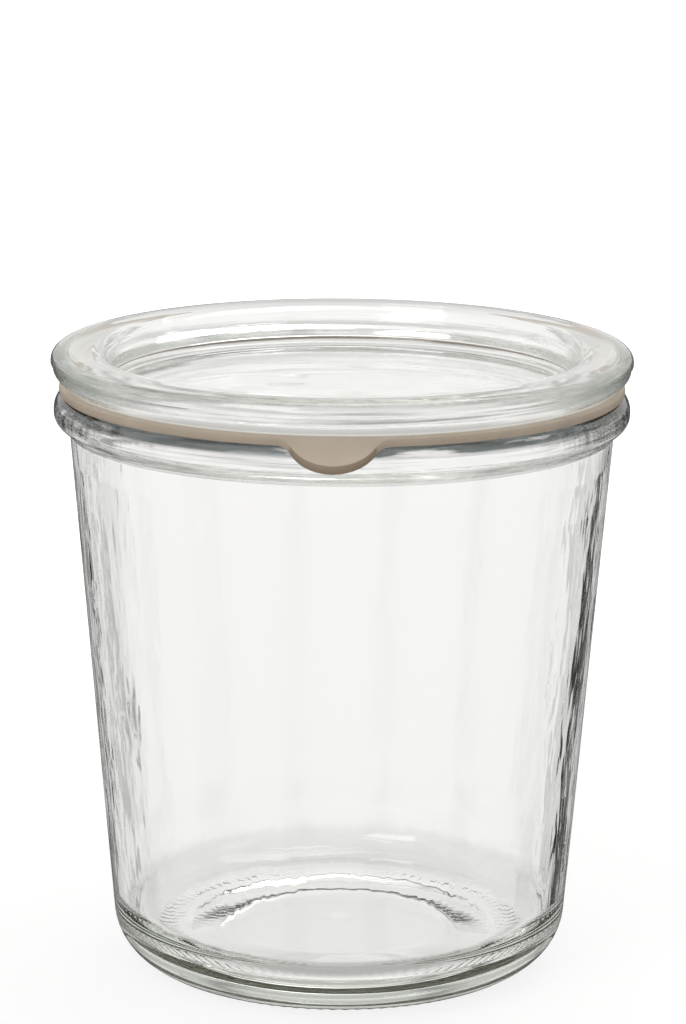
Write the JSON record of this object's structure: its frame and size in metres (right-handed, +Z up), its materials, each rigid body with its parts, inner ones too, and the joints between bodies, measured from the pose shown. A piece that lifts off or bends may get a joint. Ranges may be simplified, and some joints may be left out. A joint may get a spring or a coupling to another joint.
{
  "type": "preserving jar",
  "caption": "Tapered clear glass preserving jar with a heavy base, closed by a recessed glass lid on a flat rubber sealing ring with a pull tab.",
  "frame": {"origin": "centre of the bearing ring, on the surface that the jar stands on", "axes": "+Z up along the jar's axis, -Y towards the sealing ring's pull tab"},
  "size_m": [0.108, 0.1124, 0.1177],
  "materials": {
    "jar_glass": "clear pressed glass",
    "seal_rubber": "matt natural rubber",
    "lid_glass": "clear pressed glass"
  },
  "bodies": {
    "root": {"jar": "jar_glass", "seal_ring": "seal_rubber", "lid": "lid_glass"}
  },
  "joints": []
}
